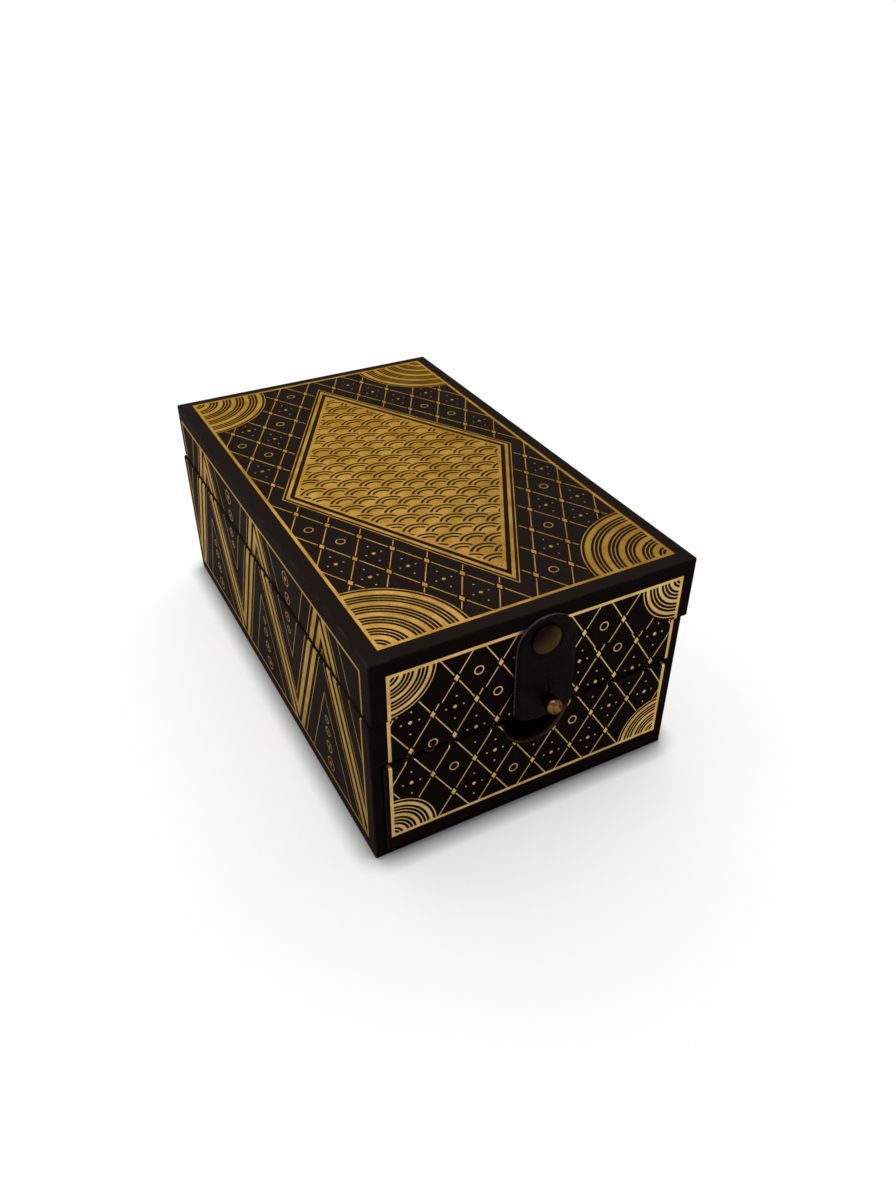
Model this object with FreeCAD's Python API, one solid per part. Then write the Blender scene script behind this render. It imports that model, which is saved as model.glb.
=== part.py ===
"""Keepsake box: a hinged lid, a tray with a front band, a drawer below it and a strap that buttons on a stud.

Frame: millimetres, origin under the middle of the body on the surface it stands on, +X to the right
of someone facing the front, +Y towards the hinge, +Z up.
"""
import FreeCAD, Part
import math
import os

# Body and lid
box_width = 114.0
box_depth = 191.5
drawer_zone_height = 40.2
band_height = 16.8
lid_height = 22.8
lid_seam = 0.2
lid_left_inset = 0.8
lid_right_overhang = 1.8
lid_front_overhang = 0.45

# Board and paper
board = 3.0
drawer_board = 2.0
paper = 0.25
lining = 0.25
edge_radius = 0.6
glue_line = 0.1

# Drawer
drawer_side_gap = 0.5
drawer_top_gap = 0.7
drawer_floor_gap = 0.2
drawer_back_gap = 1.0
drawer_rest_open = 1.5
notch_radius = 11.9
notch_rise = 0.4

# Cloth hinge
cloth = 0.4
cloth_side_margin = 2.0
cloth_leaf_height = 12.0

# Strap
strap_width = 21.0
strap_x = 2.2
strap_thickness = 2.0
strap_top_margin = 2.5
strap_top_radius = 10.4
strap_end_radius = 4.0
strap_end_curve = 30.0
strap_length = 38.2
strap_fold_drop = 14.4
strap_turn = 1.3
strap_lean = 2.6
strap_gap = 0.3

# Rivet
rivet_x = 0.9
rivet_drop = 9.9
rivet_cap_radius = 5.1
rivet_cap_rise = 1.9
rivet_cap_rim = 0.6
rivet_post_radius = 1.5
rivet_hole_clearance = 0.05
rivet_back_radius = 4.0
rivet_back_height = 0.8

# Ball stud
stud_x = 2.5
stud_flange_radius = 3.4
stud_flange_height = 0.9
stud_neck_radius = 1.6
stud_ball_radius = 2.95
stud_ball_stand = 6.8
screw_radius = 1.25
screw_reach = 2.2
screw_head_radius = 2.4
screw_head_height = 0.9
screw_floor_gap = 0.2
screw_slot_width = 0.8
screw_slot_depth = 0.45
strap_hole_radius = 2.4
strap_slit_width = 0.8
strap_slit_length = 6.0

# Levels and faces that follow from the sizes above
left = -box_width / 2
right = box_width / 2
front = -box_depth / 2
back = box_depth / 2
band_z = drawer_zone_height
seam_z = band_z + band_height
lid_z = seam_z + lid_seam
top_z = lid_z + lid_height
skin = paper + board
wall = skin + lining
shelf_z = band_z + lining
tray_floor_z = shelf_z + board
lid_left = left + lid_left_inset
lid_right = right + lid_right_overhang
lid_front = front - lid_front_overhang
strap_top = top_z - strap_top_margin
fold_z = strap_top - strap_fold_drop
stud_z = tray_floor_z + lining + screw_floor_gap + screw_head_radius
rivet_z = top_z - rivet_drop


def block(x0, x1, y0, y1, z0, z1):
    """Solid box between two corners."""
    return Part.makeBox(x1 - x0, y1 - y0, z1 - z0, FreeCAD.Vector(x0, y0, z0))


def rounded(solid, radius, chosen):
    """Solid with the edges that a test picks rounded off."""
    edges = [edge for edge in solid.Edges if chosen(edge.BoundBox)]
    return solid.makeFillet(radius, edges)


def upright(box):
    """True for a vertical edge."""
    return box.ZLength > max(box.XLength, box.YLength)


def at_height(box, z):
    """True for an edge that lies in a horizontal plane."""
    return box.ZLength < 1e-6 and abs(box.ZMin - z) < 1e-6


def rod(x, z, radius, y0, y1):
    """Round bar along Y."""
    return Part.makeCylinder(radius, y1 - y0, FreeCAD.Vector(x, y0, z), FreeCAD.Vector(0, 1, 0))


def turned(profile, x, z):
    """Solid turned about a Y axis through (x, z), from a wire of (radius, y) points and arcs."""
    wire = Part.Wire(profile)
    face = Part.Face(wire)
    solid = face.revolve(FreeCAD.Vector(0, 0, 0), FreeCAD.Vector(0, 1, 0), 360)
    solid.translate(FreeCAD.Vector(x, 0, z))
    return solid


def line(a, b):
    """Edge between two (x, y) points in the plane z = 0."""
    return Part.makeLine(FreeCAD.Vector(a[0], a[1], 0), FreeCAD.Vector(b[0], b[1], 0))


def arc(a, middle, b):
    """Circular edge through three (x, y) points in the plane z = 0."""
    points = [FreeCAD.Vector(p[0], p[1], 0) for p in (a, middle, b)]
    return Part.Arc(*points).toShape()


def base_sheet():
    """Paper under the case, inside the rounding of its lower edges."""
    return block(left + edge_radius, right - edge_radius, front + edge_radius, back - edge_radius, 0, paper)


def band_prism(inset, depth, z0, z1):
    """Bar with mitred ends that closes the front of the tray, its front face a paper's inset back."""
    face_y = front + inset
    back_y = front + depth
    slope_inset = inset * math.sqrt(2)
    half = box_width / 2
    outer = half - (face_y - front) - slope_inset
    inner = half - depth - slope_inset
    corners = [(-outer, face_y), (outer, face_y), (inner, back_y), (-inner, back_y)]
    points = [FreeCAD.Vector(x, y, z0) for x, y in corners]
    points.append(points[0])
    return Part.Face(Part.makePolygon(points)).extrude(FreeCAD.Vector(0, 0, z1 - z0))


def band_outer():
    """Outside of the wrapped front band, which shares the rounding of the case's front corners."""
    bar = block(left, right, front, back, band_z, seam_z)
    bar = rounded(bar, edge_radius, lambda box: upright(box) or at_height(box, band_z) or at_height(box, seam_z))
    return bar.common(band_prism(0, skin, band_z, seam_z))


def band_room():
    """Room that the side walls leave for the front band."""
    prism = band_prism(0, skin, band_z, seam_z + board)
    reach = glue_line * math.sqrt(2)
    stretched = [prism.translated(FreeCAD.Vector(shift, 0, 0)) for shift in (-reach, 0, reach)]
    return stretched[0].fuse(stretched[1:])


def make_case():
    """Boards, papers and linings of the case."""
    inside_left = left + skin
    inside_right = right - skin
    inside_back = back - skin
    floor_top = skin
    outer = block(left, right, front, back, 0, seam_z)
    outer = rounded(outer, edge_radius, lambda box: upright(box) or at_height(box, 0) or at_height(box, seam_z))
    rim_hole = block(inside_left, inside_right, front + paper, inside_back, seam_z - paper, seam_z)
    drawer_mouth = block(left + wall, right - wall, front, front + paper, wall, band_z)
    inside = block(left + paper, right - paper, front + paper, back - paper, paper, seam_z - paper)
    wrap = outer.cut(inside).cut(base_sheet()).cut(rim_hole).cut(drawer_mouth).cut(band_room())
    side_size = (front + paper, inside_back, floor_top, seam_z - paper)
    bay_hollow = block(left + wall, right - wall, front + paper, back - wall, wall, band_z)
    bay_skin = block(inside_left, inside_right, front + paper, inside_back, floor_top, shelf_z)
    under_band = block(left, right, front, front + skin, band_z, shelf_z)
    tray_hollow = block(left + wall, right - wall, front + wall, back - wall, tray_floor_z + lining, seam_z)
    tray_skin = block(inside_left, inside_right, front + skin, inside_back, tray_floor_z, seam_z)
    return {
        "bottom_board": block(left + paper, right - paper, front + paper, back - paper, paper, floor_top),
        "base_paper": base_sheet(),
        "case_left_board": block(left + paper, inside_left, *side_size).cut(band_room()),
        "case_right_board": block(inside_right, right - paper, *side_size).cut(band_room()),
        "case_back_board": block(left + paper, right - paper, inside_back, back - paper, floor_top, seam_z - paper),
        "shelf_board": block(inside_left, inside_right, front + skin, inside_back, shelf_z, tray_floor_z),
        "case_wrap": wrap,
        "bay_lining": bay_skin.cut(bay_hollow).cut(under_band),
        "tray_lining": tray_skin.cut(tray_hollow).cut(stud_shank_hole()),
    }


def make_band():
    """Front band of the tray: a mitred board with its own paper."""
    core = band_prism(paper, skin, band_z + paper, seam_z - paper)
    return {
        "front_band_board": core.cut(stud_shank_hole()),
        "front_band_wrap": band_outer().cut(core).cut(stud_shank_hole()),
    }


def make_lid():
    """Boards, paper and lining of the lid."""
    x0 = lid_left + paper
    x1 = lid_right - paper
    y0 = lid_front + paper
    y1 = back - paper
    under_top = top_z - skin
    outer = block(lid_left, lid_right, lid_front, back, lid_z, top_z)
    outer = rounded(outer, edge_radius, lambda box: upright(box) or at_height(box, lid_z) or at_height(box, top_z))
    core = block(x0, x1, y0, y1, lid_z + paper, top_z - paper)
    rim_hole = block(x0 + board, x1 - board, y0 + board, y1 - board, lid_z, lid_z + paper)
    lid_skin = block(x0 + board, x1 - board, y0 + board, y1 - board, lid_z, under_top)
    hollow_x = (lid_left + wall, lid_right - wall)
    hollow = block(*hollow_x, lid_front + wall, back - wall, lid_z, under_top - lining)
    hole = rivet_hole()
    sides = (y0 + board, y1 - board, lid_z + paper, under_top)
    return {
        "lid_top_board": block(x0, x1, y0, y1, under_top, top_z - paper),
        "lid_front_board": block(x0, x1, y0, y0 + board, lid_z + paper, under_top).cut(hole),
        "lid_back_board": block(x0, x1, y1 - board, y1, lid_z + paper, under_top),
        "lid_left_board": block(x0, x0 + board, *sides),
        "lid_right_board": block(x1 - board, x1, *sides),
        "lid_wrap": outer.cut(core).cut(rim_hole).cut(hole),
        "lid_lining": lid_skin.cut(hollow).cut(hole),
    }


def make_hinge():
    """Cloth strip across the back of the seam, as its leaf on the case and its leaf on the lid."""
    x0 = left + cloth_side_margin
    x1 = right - cloth_side_margin
    return {
        "hinge_cloth_lower": block(x0, x1, back, back + cloth, seam_z - cloth_leaf_height, seam_z),
        "hinge_cloth_upper": block(x0, x1, back, back + cloth, lid_z, lid_z + cloth_leaf_height),
    }


def make_drawer():
    """Drawer as it stands at rest, a little way out of its bay."""
    pieces = closed_drawer()
    return {name: shape.translated(FreeCAD.Vector(0, -drawer_rest_open, 0)) for name, shape in pieces.items()}


def closed_drawer():
    """Drawer pushed home, with a half-round finger notch in the top edge of its front."""
    x0 = left + wall + drawer_side_gap
    x1 = right - wall - drawer_side_gap
    y1 = back - wall - drawer_back_gap
    z0 = wall + drawer_floor_gap
    z1 = band_z - drawer_top_gap
    inner_x = (x0 + paper + drawer_board, x1 - paper - drawer_board)
    inner_y = (front + skin, y1 - paper - drawer_board)
    floor_top = z0 + paper + drawer_board
    outer = block(x0, x1, front, y1, z0, z1)
    outer = rounded(outer, edge_radius, lambda box: upright(box) or at_height(box, z0) or at_height(box, z1))
    core = block(x0 + paper, x1 - paper, front + paper, y1 - paper, z0 + paper, z1 - paper)
    mouth = block(*inner_x, *inner_y, z1 - paper, z1)
    notch_z = z1 + notch_rise
    notch = rod(0, notch_z, notch_radius, front - wall, front + 2 * wall)
    notch_edge = rod(0, notch_z, notch_radius + paper, front, front + skin)
    ring = notch_edge.cut(notch).common(block(x0, x1, front, front + skin, z0, z1))
    lining_skin = block(*inner_x, *inner_y, floor_top, z1)
    hollow_x = (inner_x[0] + lining, inner_x[1] - lining)
    hollow = block(*hollow_x, inner_y[0] + lining, inner_y[1] - lining, floor_top + lining, z1)
    wall_size = (*inner_y, floor_top, z1 - paper)
    front_board = block(x0 + paper, x1 - paper, front + paper, front + skin, floor_top, z1 - paper)
    back_board = block(x0 + paper, x1 - paper, inner_y[1], y1 - paper, floor_top, z1 - paper)
    return {
        "drawer_front_board": front_board.cut(notch_edge),
        "drawer_back_board": back_board,
        "drawer_left_board": block(x0 + paper, inner_x[0], *wall_size),
        "drawer_right_board": block(inner_x[1], x1 - paper, *wall_size),
        "drawer_bottom_board": block(x0 + paper, x1 - paper, front + paper, y1 - paper, z0 + paper, floor_top),
        "drawer_wrap": outer.cut(core).cut(mouth).cut(notch_edge).fuse(ring).removeSplitter(),
        "drawer_lining": lining_skin.cut(hollow).cut(notch),
    }


def strap_outline(z0, z1, y0, y1):
    """Strap's outline as a plate along Y, a little askew, cut to a stretch of its height."""
    x0 = strap_x - strap_width / 2
    x1 = strap_x + strap_width / 2
    plate = block(x0, x1, y0, y1, strap_top - strap_length, strap_top)

    def top_corner(box):
        return box.YLength > max(box.XLength, box.ZLength) and box.ZMin > fold_z

    def end_corner(box):
        return box.YLength > max(box.XLength, box.ZLength) and box.ZMin < fold_z

    plate = rounded(plate, strap_top_radius, top_corner)
    plate = rounded(plate, strap_end_radius, end_corner)
    end = rod(strap_x, strap_top - strap_length + strap_end_curve, strap_end_curve, y0, y1)
    crown = block(x0, x1, y0, y1, fold_z, strap_top)
    plate = plate.common(end.fuse(crown))
    plate.rotate(FreeCAD.Vector(strap_x, y0, fold_z), FreeCAD.Vector(0, 1, 0), strap_turn)
    return plate.common(block(x0 - strap_width, x1 + strap_width, y0, y1, z0, z1))


def make_strap():
    """Leather strap: the end that the rivet holds and the flap that buttons over the stud."""
    root = strap_outline(fold_z, strap_top, lid_front - strap_thickness, lid_front)
    low_z = strap_top - strap_length
    flap = strap_outline(low_z, fold_z - strap_gap, lid_front - strap_thickness, lid_front)
    keyhole = rod(stud_x, stud_z, strap_hole_radius, front - box_depth, front)
    slit_x = (stud_x - strap_slit_width / 2, stud_x + strap_slit_width / 2)
    slit = block(*slit_x, front - box_depth, front, stud_z, stud_z + strap_hole_radius + strap_slit_length)
    flap.rotate(FreeCAD.Vector(0, lid_front, fold_z), FreeCAD.Vector(-1, 0, 0), strap_lean)
    return {
        "strap_root": root.cut(rivet_hole()),
        "strap_flap": flap.cut(keyhole).cut(slit),
    }


def rivet_hole():
    """Hole for the rivet's post through the strap and the lid's front wall."""
    radius = rivet_post_radius + rivet_hole_clearance
    return rod(rivet_x, rivet_z, radius, lid_front - strap_thickness, lid_front + wall)


def make_rivet():
    """Double-cap rivet: a domed front cap pressed onto a post with a flat back cap."""
    seat = lid_front - strap_thickness
    cap_profile = [
        line((0, seat), (rivet_cap_radius, seat)),
        line((rivet_cap_radius, seat), (rivet_cap_radius, seat - rivet_cap_rim)),
        dome_arc(seat),
        line((0, seat - rivet_cap_rise), (0, seat)),
    ]
    post = rod(rivet_x, rivet_z, rivet_post_radius, seat, lid_front + wall)
    foot = rod(rivet_x, rivet_z, rivet_back_radius, lid_front + wall, lid_front + wall + rivet_back_height)
    return {
        "rivet_cap": turned(cap_profile, rivet_x, rivet_z),
        "rivet_post": post.fuse(foot).removeSplitter(),
    }


def dome_arc(seat):
    """Low dome of the rivet cap, from its rim to its crown."""
    rim_y = seat - rivet_cap_rim
    crown_y = seat - rivet_cap_rise
    height = rivet_cap_rise - rivet_cap_rim
    sphere = (rivet_cap_radius ** 2 + height ** 2) / (2 * height)
    half_angle = math.asin(rivet_cap_radius / sphere) / 2
    centre_y = crown_y + sphere
    middle = (sphere * math.sin(half_angle), centre_y - sphere * math.cos(half_angle))
    return arc((rivet_cap_radius, rim_y), middle, (0, crown_y))


def stud_shank_hole():
    """Hole for the stud's screw through the front band and the tray's lining."""
    return rod(stud_x, stud_z, screw_radius, front, front + wall)


def make_stud():
    """Ball stud and the slotted screw that holds it from inside the tray."""
    flange_y = front - stud_flange_height
    ball_y = front - stud_ball_stand
    joint_y = ball_y + math.sqrt(stud_ball_radius ** 2 - stud_neck_radius ** 2)
    profile = [
        line((0, front), (stud_flange_radius, front)),
        line((stud_flange_radius, front), (stud_flange_radius, flange_y)),
        line((stud_flange_radius, flange_y), (stud_neck_radius, flange_y)),
        line((stud_neck_radius, flange_y), (stud_neck_radius, joint_y)),
        arc((stud_neck_radius, joint_y), (stud_ball_radius, ball_y), (0, ball_y - stud_ball_radius)),
        line((0, ball_y - stud_ball_radius), (0, front)),
    ]
    thread = rod(stud_x, stud_z, screw_radius, front - screw_reach, front)
    head_y = front + wall
    shank = rod(stud_x, stud_z, screw_radius, front - screw_reach, head_y)
    head = rod(stud_x, stud_z, screw_head_radius, head_y, head_y + screw_head_height)
    slot_z = (stud_z - screw_slot_width / 2, stud_z + screw_slot_width / 2)
    slot_y = (head_y + screw_head_height - screw_slot_depth, head_y + 2 * screw_head_height)
    slot = block(stud_x - screw_head_radius, stud_x + screw_head_radius, *slot_y, *slot_z)
    return {
        "ball_stud": turned(profile, stud_x, stud_z).cut(thread),
        "stud_screw": shank.fuse(head).cut(slot).removeSplitter(),
    }


def main():
    """Build every piece and write one file for each."""
    os.makedirs("parts", exist_ok=True)
    makers = (make_case, make_band, make_lid, make_hinge, make_drawer, make_strap, make_rivet, make_stud)
    for make in makers:
        for name, shape in make().items():
            solid = shape.Solids[0] if len(shape.Solids) == 1 else shape
            solid.exportStep("parts/" + name + ".step")
            size = solid.BoundBox
            print(f"{name:22s} solids {len(shape.Solids)} valid {solid.isValid()} volume {solid.Volume:10.1f}"
                  f"  {size.XMin:7.2f} {size.XMax:7.2f} {size.YMin:7.2f} {size.YMax:7.2f}"
                  f" {size.ZMin:6.2f} {size.ZMax:6.2f}")


main()
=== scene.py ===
"""Looks of the keepsake box: printed paper, gold foil, leather strap and brass fittings."""
import math
import bpy
from mathutils import Matrix, Vector
from mathutils.geometry import delaunay_2d_cdt
from mathutils.noise import noise as hills


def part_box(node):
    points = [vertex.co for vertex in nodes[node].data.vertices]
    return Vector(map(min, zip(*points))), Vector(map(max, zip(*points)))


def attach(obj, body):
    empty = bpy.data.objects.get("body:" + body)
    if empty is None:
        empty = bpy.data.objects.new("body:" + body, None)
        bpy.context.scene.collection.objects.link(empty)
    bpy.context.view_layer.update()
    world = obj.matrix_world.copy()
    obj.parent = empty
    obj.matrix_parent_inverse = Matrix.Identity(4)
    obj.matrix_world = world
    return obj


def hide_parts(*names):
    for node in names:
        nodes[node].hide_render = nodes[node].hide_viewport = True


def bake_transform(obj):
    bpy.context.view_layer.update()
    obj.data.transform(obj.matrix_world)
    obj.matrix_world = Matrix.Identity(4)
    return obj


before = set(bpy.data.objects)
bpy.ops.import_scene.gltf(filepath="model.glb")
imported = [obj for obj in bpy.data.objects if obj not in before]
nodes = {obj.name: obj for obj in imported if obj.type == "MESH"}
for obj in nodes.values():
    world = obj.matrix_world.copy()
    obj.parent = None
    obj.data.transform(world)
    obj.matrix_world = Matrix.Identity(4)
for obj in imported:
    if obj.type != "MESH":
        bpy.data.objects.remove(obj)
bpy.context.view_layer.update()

MM = 0.001
FOIL_TINT = (0.9, 0.68, 0.36)

# Camera fitted to the box's corners in the photograph
EYE = Vector((-130.19, -278.96, 244.99)) * MM
LOOK = Vector((0.3856, 0.7133, -0.5853)).normalized()
UP = Vector((0.2753, 0.5165, 0.8108))
FOCAL_PX = 943.5
LONG_SIDE_PX = 1195
SENSOR = 36.0

# Close shade on the floor along the foot of the box: its reach in millimetres and how deep it is
CONTACT_REACH = 8.0
CONTACT_DEPTH = 1.65

# Paper and print, in millimetres
EDGE_RADIUS = 0.6
FOIL_HEIGHT = 0.03
FOIL_DEPTH = 0.02
WRAP_REACH = 0.6
DRAWER_REACH = 2.6
BEND_STEPS = 4
FRAME_LINE = 1.1
FINE = 0.36
SIDE_LINE = 0.9
NOTCH = (0.0, 39.9, 11.9)
NOTCH_MARGIN = 0.45
PAPER = (0.0110, 0.0072, 0.0058)
PAPER_DARK = (0.0097, 0.0063, 0.0051)
PAPER_LIGHT = (0.0126, 0.0085, 0.0070)
PAPER_FIBRE = (0.023, 0.018, 0.016)
PAPER_RUBBED = (0.050, 0.042, 0.036)
# Board colour of the notch's cut edge, lightened as a painted highlight where light catches its front.
NOTCH_EDGE_AND_HIGHLIGHT = (0.200, 0.115, 0.070)
LINING = (0.016, 0.0145, 0.014)
LINING_LIGHT = (0.021, 0.019, 0.018)
THREAD = 0.5
RIB = 1.1
MITRE_REACH = 3.4

# Strap and stud, in millimetres
STRAP_X = 2.2
STRAP_WIDTH = 21.0
STRAP_TOP = 77.5
STRAP_LOW = 39.3
STRAP_TOP_RADIUS = 10.4
STRAP_END_RADIUS = 4.0
STRAP_END_CURVE = 30.0
STRAP_THICKNESS = 2.0
STRAP_TURN = 1.3
STRAP_LEAN = 2.6
STRAIGHT_PARTS = 22
LONG_STRETCH = 2.0
FOLD_Z = 63.1
LID_FRONT = -96.2
CAP_X = 0.9
CAP_Z = 70.1
STUD_X = 2.5
STUD_Z = 46.3
KEYHOLE_RADIUS = 1.9
SLIT_HALF = 0.04
SLIT_LENGTH = 5.5


def mm_box(node):
    """Lowest and highest corners of a CAD node at rest, in millimetres."""
    low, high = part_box(node)
    return Vector(low) / MM, Vector(high) / MM


def make_camera():
    """Camera at the photograph's place, with its long side vertical."""
    data = bpy.data.cameras.new("camera")
    data.sensor_width = SENSOR
    data.lens = FOCAL_PX / LONG_SIDE_PX * SENSOR
    data.clip_start = 0.01
    data.clip_end = 100
    camera = bpy.data.objects.new("camera", data)
    bpy.context.scene.collection.objects.link(camera)
    back = -LOOK
    right = UP.cross(back).normalized()
    up = back.cross(right)
    turn = Matrix((right, up, back)).transposed()
    camera.matrix_world = Matrix.Translation(EYE) @ turn.to_4x4()
    bpy.context.scene.camera = camera


def link(tree, a, b):
    """Join an output socket to an input socket."""
    tree.links.new(a, b)


def make_floor():
    """Pale floor that shows white to the camera and keeps the box's soft shadow and its contact shade."""
    bpy.ops.mesh.primitive_plane_add(size=30, location=(0, 0, 0))
    floor = bpy.context.object
    floor.name = "floor"
    material = bpy.data.materials.new("floor")
    material.use_nodes = True
    tree = material.node_tree
    tree.nodes.clear()
    out = tree.nodes.new("ShaderNodeOutputMaterial")
    diffuse = tree.nodes.new("ShaderNodeBsdfDiffuse")
    glow = tree.nodes.new("ShaderNodeEmission")
    add = tree.nodes.new("ShaderNodeAddShader")
    contact = tree.nodes.new("ShaderNodeAmbientOcclusion")
    contact.inputs["Distance"].default_value = CONTACT_REACH * MM
    close_shade = calc(tree, "POWER", contact.outputs["AO"], CONTACT_DEPTH)
    link(tree, blend_colours(tree, close_shade, (0, 0, 0), (0.41, 0.41, 0.41)), diffuse.inputs["Color"])
    link(tree, calc(tree, "MULTIPLY", seen_directly(tree, 0.60), close_shade), glow.inputs["Strength"])
    link(tree, diffuse.outputs[0], add.inputs[0])
    link(tree, glow.outputs[0], add.inputs[1])
    link(tree, add.outputs[0], out.inputs["Surface"])
    floor.data.materials.append(material)


def seen_directly(tree, strength):
    """Strength for rays from the camera or by way of metal or glass, and none for light on the box."""
    path = tree.nodes.new("ShaderNodeLightPath")
    total = None
    for name in ("Is Camera Ray", "Is Glossy Ray", "Is Transmission Ray"):
        if total is None:
            total = path.outputs[name]
            continue
        either = tree.nodes.new("ShaderNodeMath")
        either.operation = "MAXIMUM"
        link(tree, total, either.inputs[0])
        link(tree, path.outputs[name], either.inputs[1])
        total = either.outputs[0]
    scale = tree.nodes.new("ShaderNodeMath")
    scale.operation = "MULTIPLY"
    link(tree, total, scale.inputs[0])
    scale.inputs[1].default_value = strength
    return scale.outputs[0]


def make_light():
    """Soft daylight from behind, a low fill from the left, a white surround and two lamps for glints."""
    scene = bpy.context.scene
    scene.view_settings.view_transform = "Standard"
    world = bpy.data.worlds.new("surround")
    scene.world = world
    world.use_nodes = True
    tree = world.node_tree
    tree.nodes.clear()
    out = tree.nodes.new("ShaderNodeOutputWorld")
    fill = tree.nodes.new("ShaderNodeBackground")
    fill.inputs["Color"].default_value = (1, 1, 1, 1)
    fill.inputs["Strength"].default_value = 0.12
    white = tree.nodes.new("ShaderNodeBackground")
    white.inputs["Color"].default_value = (1, 1, 1, 1)
    link(tree, seen_directly(tree, 0.88), white.inputs["Strength"])
    add = tree.nodes.new("ShaderNodeAddShader")
    link(tree, fill.outputs[0], add.inputs[0])
    link(tree, white.outputs[0], add.inputs[1])
    link(tree, add.outputs[0], out.inputs["Surface"])
    add_sun("sky", 3.2, 90, (0.12, 0.50, 0.86)).visible_glossy = False
    add_sun("fill", 1.5, 30, (-1.0, 0.15, 0.18)).visible_glossy = False
    add_sun("back_glint", 0.32, 24, (0.22, 0.70, 0.68)).visible_diffuse = False
    add_sun("top_glint", 2.2, 36, (-0.10, 0.04, 0.99)).visible_diffuse = False


def add_sun(name, energy, degrees, toward):
    """Far lamp of an apparent width, in a direction from the box."""
    sun = bpy.data.lights.new(name, "SUN")
    sun.energy = energy
    sun.angle = math.radians(degrees)
    lamp = bpy.data.objects.new(name, sun)
    bpy.context.scene.collection.objects.link(lamp)
    lamp.rotation_mode = "QUATERNION"
    lamp.rotation_quaternion = Vector(toward).to_track_quat("Z", "Y")
    return lamp


def new_material(name, colour, roughness, metallic=0.0, specular=0.5):
    """Material with its node tree and shader, ready for detail."""
    made = bpy.data.materials.new(name)
    made.use_nodes = True
    tree = made.node_tree
    shader = tree.nodes["Principled BSDF"]
    shader.inputs["Base Color"].default_value = (*colour, 1)
    shader.inputs["Roughness"].default_value = roughness
    shader.inputs["Metallic"].default_value = metallic
    shader.inputs["Specular IOR Level"].default_value = specular
    return made, tree, shader


def place_on_object(tree, stretch=(1, 1, 1)):
    """Position on the piece in millimetres, stretched by axis."""
    coordinate = tree.nodes.new("ShaderNodeTexCoord")
    mapping = tree.nodes.new("ShaderNodeMapping")
    mapping.inputs["Scale"].default_value = [s / MM for s in stretch]
    tree.links.new(coordinate.outputs["Object"], mapping.inputs["Vector"])
    return mapping.outputs["Vector"]


def noise(tree, place, size, detail=2.0):
    """Cloudy pattern with features of a size in millimetres."""
    node = tree.nodes.new("ShaderNodeTexNoise")
    node.inputs["Scale"].default_value = 1 / size
    node.inputs["Detail"].default_value = detail
    tree.links.new(place, node.inputs["Vector"])
    return node.outputs["Fac"]


def cells(tree, place, size, feature="F1"):
    """Distance to the nearest of scattered points, a size in millimetres apart."""
    node = tree.nodes.new("ShaderNodeTexVoronoi")
    node.feature = feature
    node.inputs["Scale"].default_value = 1 / size
    tree.links.new(place, node.inputs["Vector"])
    return node.outputs["Distance"]


def ramp(tree, value, low, high, to_low=0.0, to_high=1.0):
    """Value carried smoothly from one range to another."""
    node = tree.nodes.new("ShaderNodeMapRange")
    node.interpolation_type = "SMOOTHSTEP"
    tree.links.new(value, node.inputs["Value"])
    for name, number in zip(("From Min", "From Max", "To Min", "To Max"), (low, high, to_low, to_high)):
        node.inputs[name].default_value = number
    return node.outputs["Result"]


def calc(tree, operation, a, b):
    """Result of an operation on sockets or numbers."""
    node = tree.nodes.new("ShaderNodeMath")
    node.operation = operation
    for socket, value in zip(node.inputs, (a, b)):
        if isinstance(value, (int, float)):
            socket.default_value = value
        else:
            tree.links.new(value, socket)
    return node.outputs[0]


def blend_colours(tree, factor, a, b):
    """Colour between two, each a socket or three numbers."""
    node = tree.nodes.new("ShaderNodeMix")
    node.data_type = "RGBA"
    tree.links.new(factor, node.inputs["Factor"])
    for socket, value in ((node.inputs[6], a), (node.inputs[7], b)):
        if isinstance(value, tuple):
            socket.default_value = (*value, 1)
        else:
            tree.links.new(value, socket)
    return node.outputs[2]


def bump(tree, shader, height, depth, strength=1.0):
    """Relief of a depth in millimetres."""
    node = tree.nodes.new("ShaderNodeBump")
    node.inputs["Strength"].default_value = strength
    node.inputs["Distance"].default_value = depth * MM
    tree.links.new(height, node.inputs["Height"])
    tree.links.new(node.outputs["Normal"], shader.inputs["Normal"])


def edge_closeness(tree, place, low, high, reach):
    """One at the edges of a box and zero at a reach from them, over the box's surface."""
    split = tree.nodes.new("ShaderNodeSeparateXYZ")
    tree.links.new(place, split.inputs[0])
    gaps = []
    for axis in range(3):
        from_low = calc(tree, "SUBTRACT", split.outputs[axis], low[axis])
        from_high = calc(tree, "SUBTRACT", high[axis], split.outputs[axis])
        gaps.append(calc(tree, "MINIMUM", from_low, from_high))
    least = calc(tree, "MINIMUM", gaps[0], gaps[1])
    most = calc(tree, "MAXIMUM", gaps[0], gaps[1])
    second = calc(tree, "MAXIMUM", least, calc(tree, "MINIMUM", most, gaps[2]))
    return ramp(tree, second, 0.0, reach, 1.0, 0.0)


def notch_edge_and_highlight(tree, place):
    """One on the cut edge of the drawer's finger notch, strongest at its front as a painted highlight, less further in
    and zero past the edge.
    """
    split = tree.nodes.new("ShaderNodeSeparateXYZ")
    tree.links.new(place, split.inputs[0])
    across = calc(tree, "SUBTRACT", split.outputs[0], NOTCH[0])
    up = calc(tree, "SUBTRACT", split.outputs[2], NOTCH[1])
    square = calc(tree, "ADD", calc(tree, "MULTIPLY", across, across), calc(tree, "MULTIPLY", up, up))
    on_edge = ramp(tree, calc(tree, "SQRT", square, 0), NOTCH[2] + 0.02, NOTCH[2] + 0.1, 1.0, 0.0)
    low, _ = mm_box("drawer_wrap")
    return calc(tree, "MULTIPLY", on_edge, ramp(tree, split.outputs[1], low.y + 0.3, low.y + 1.9, 1.0, 0.15))


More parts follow.
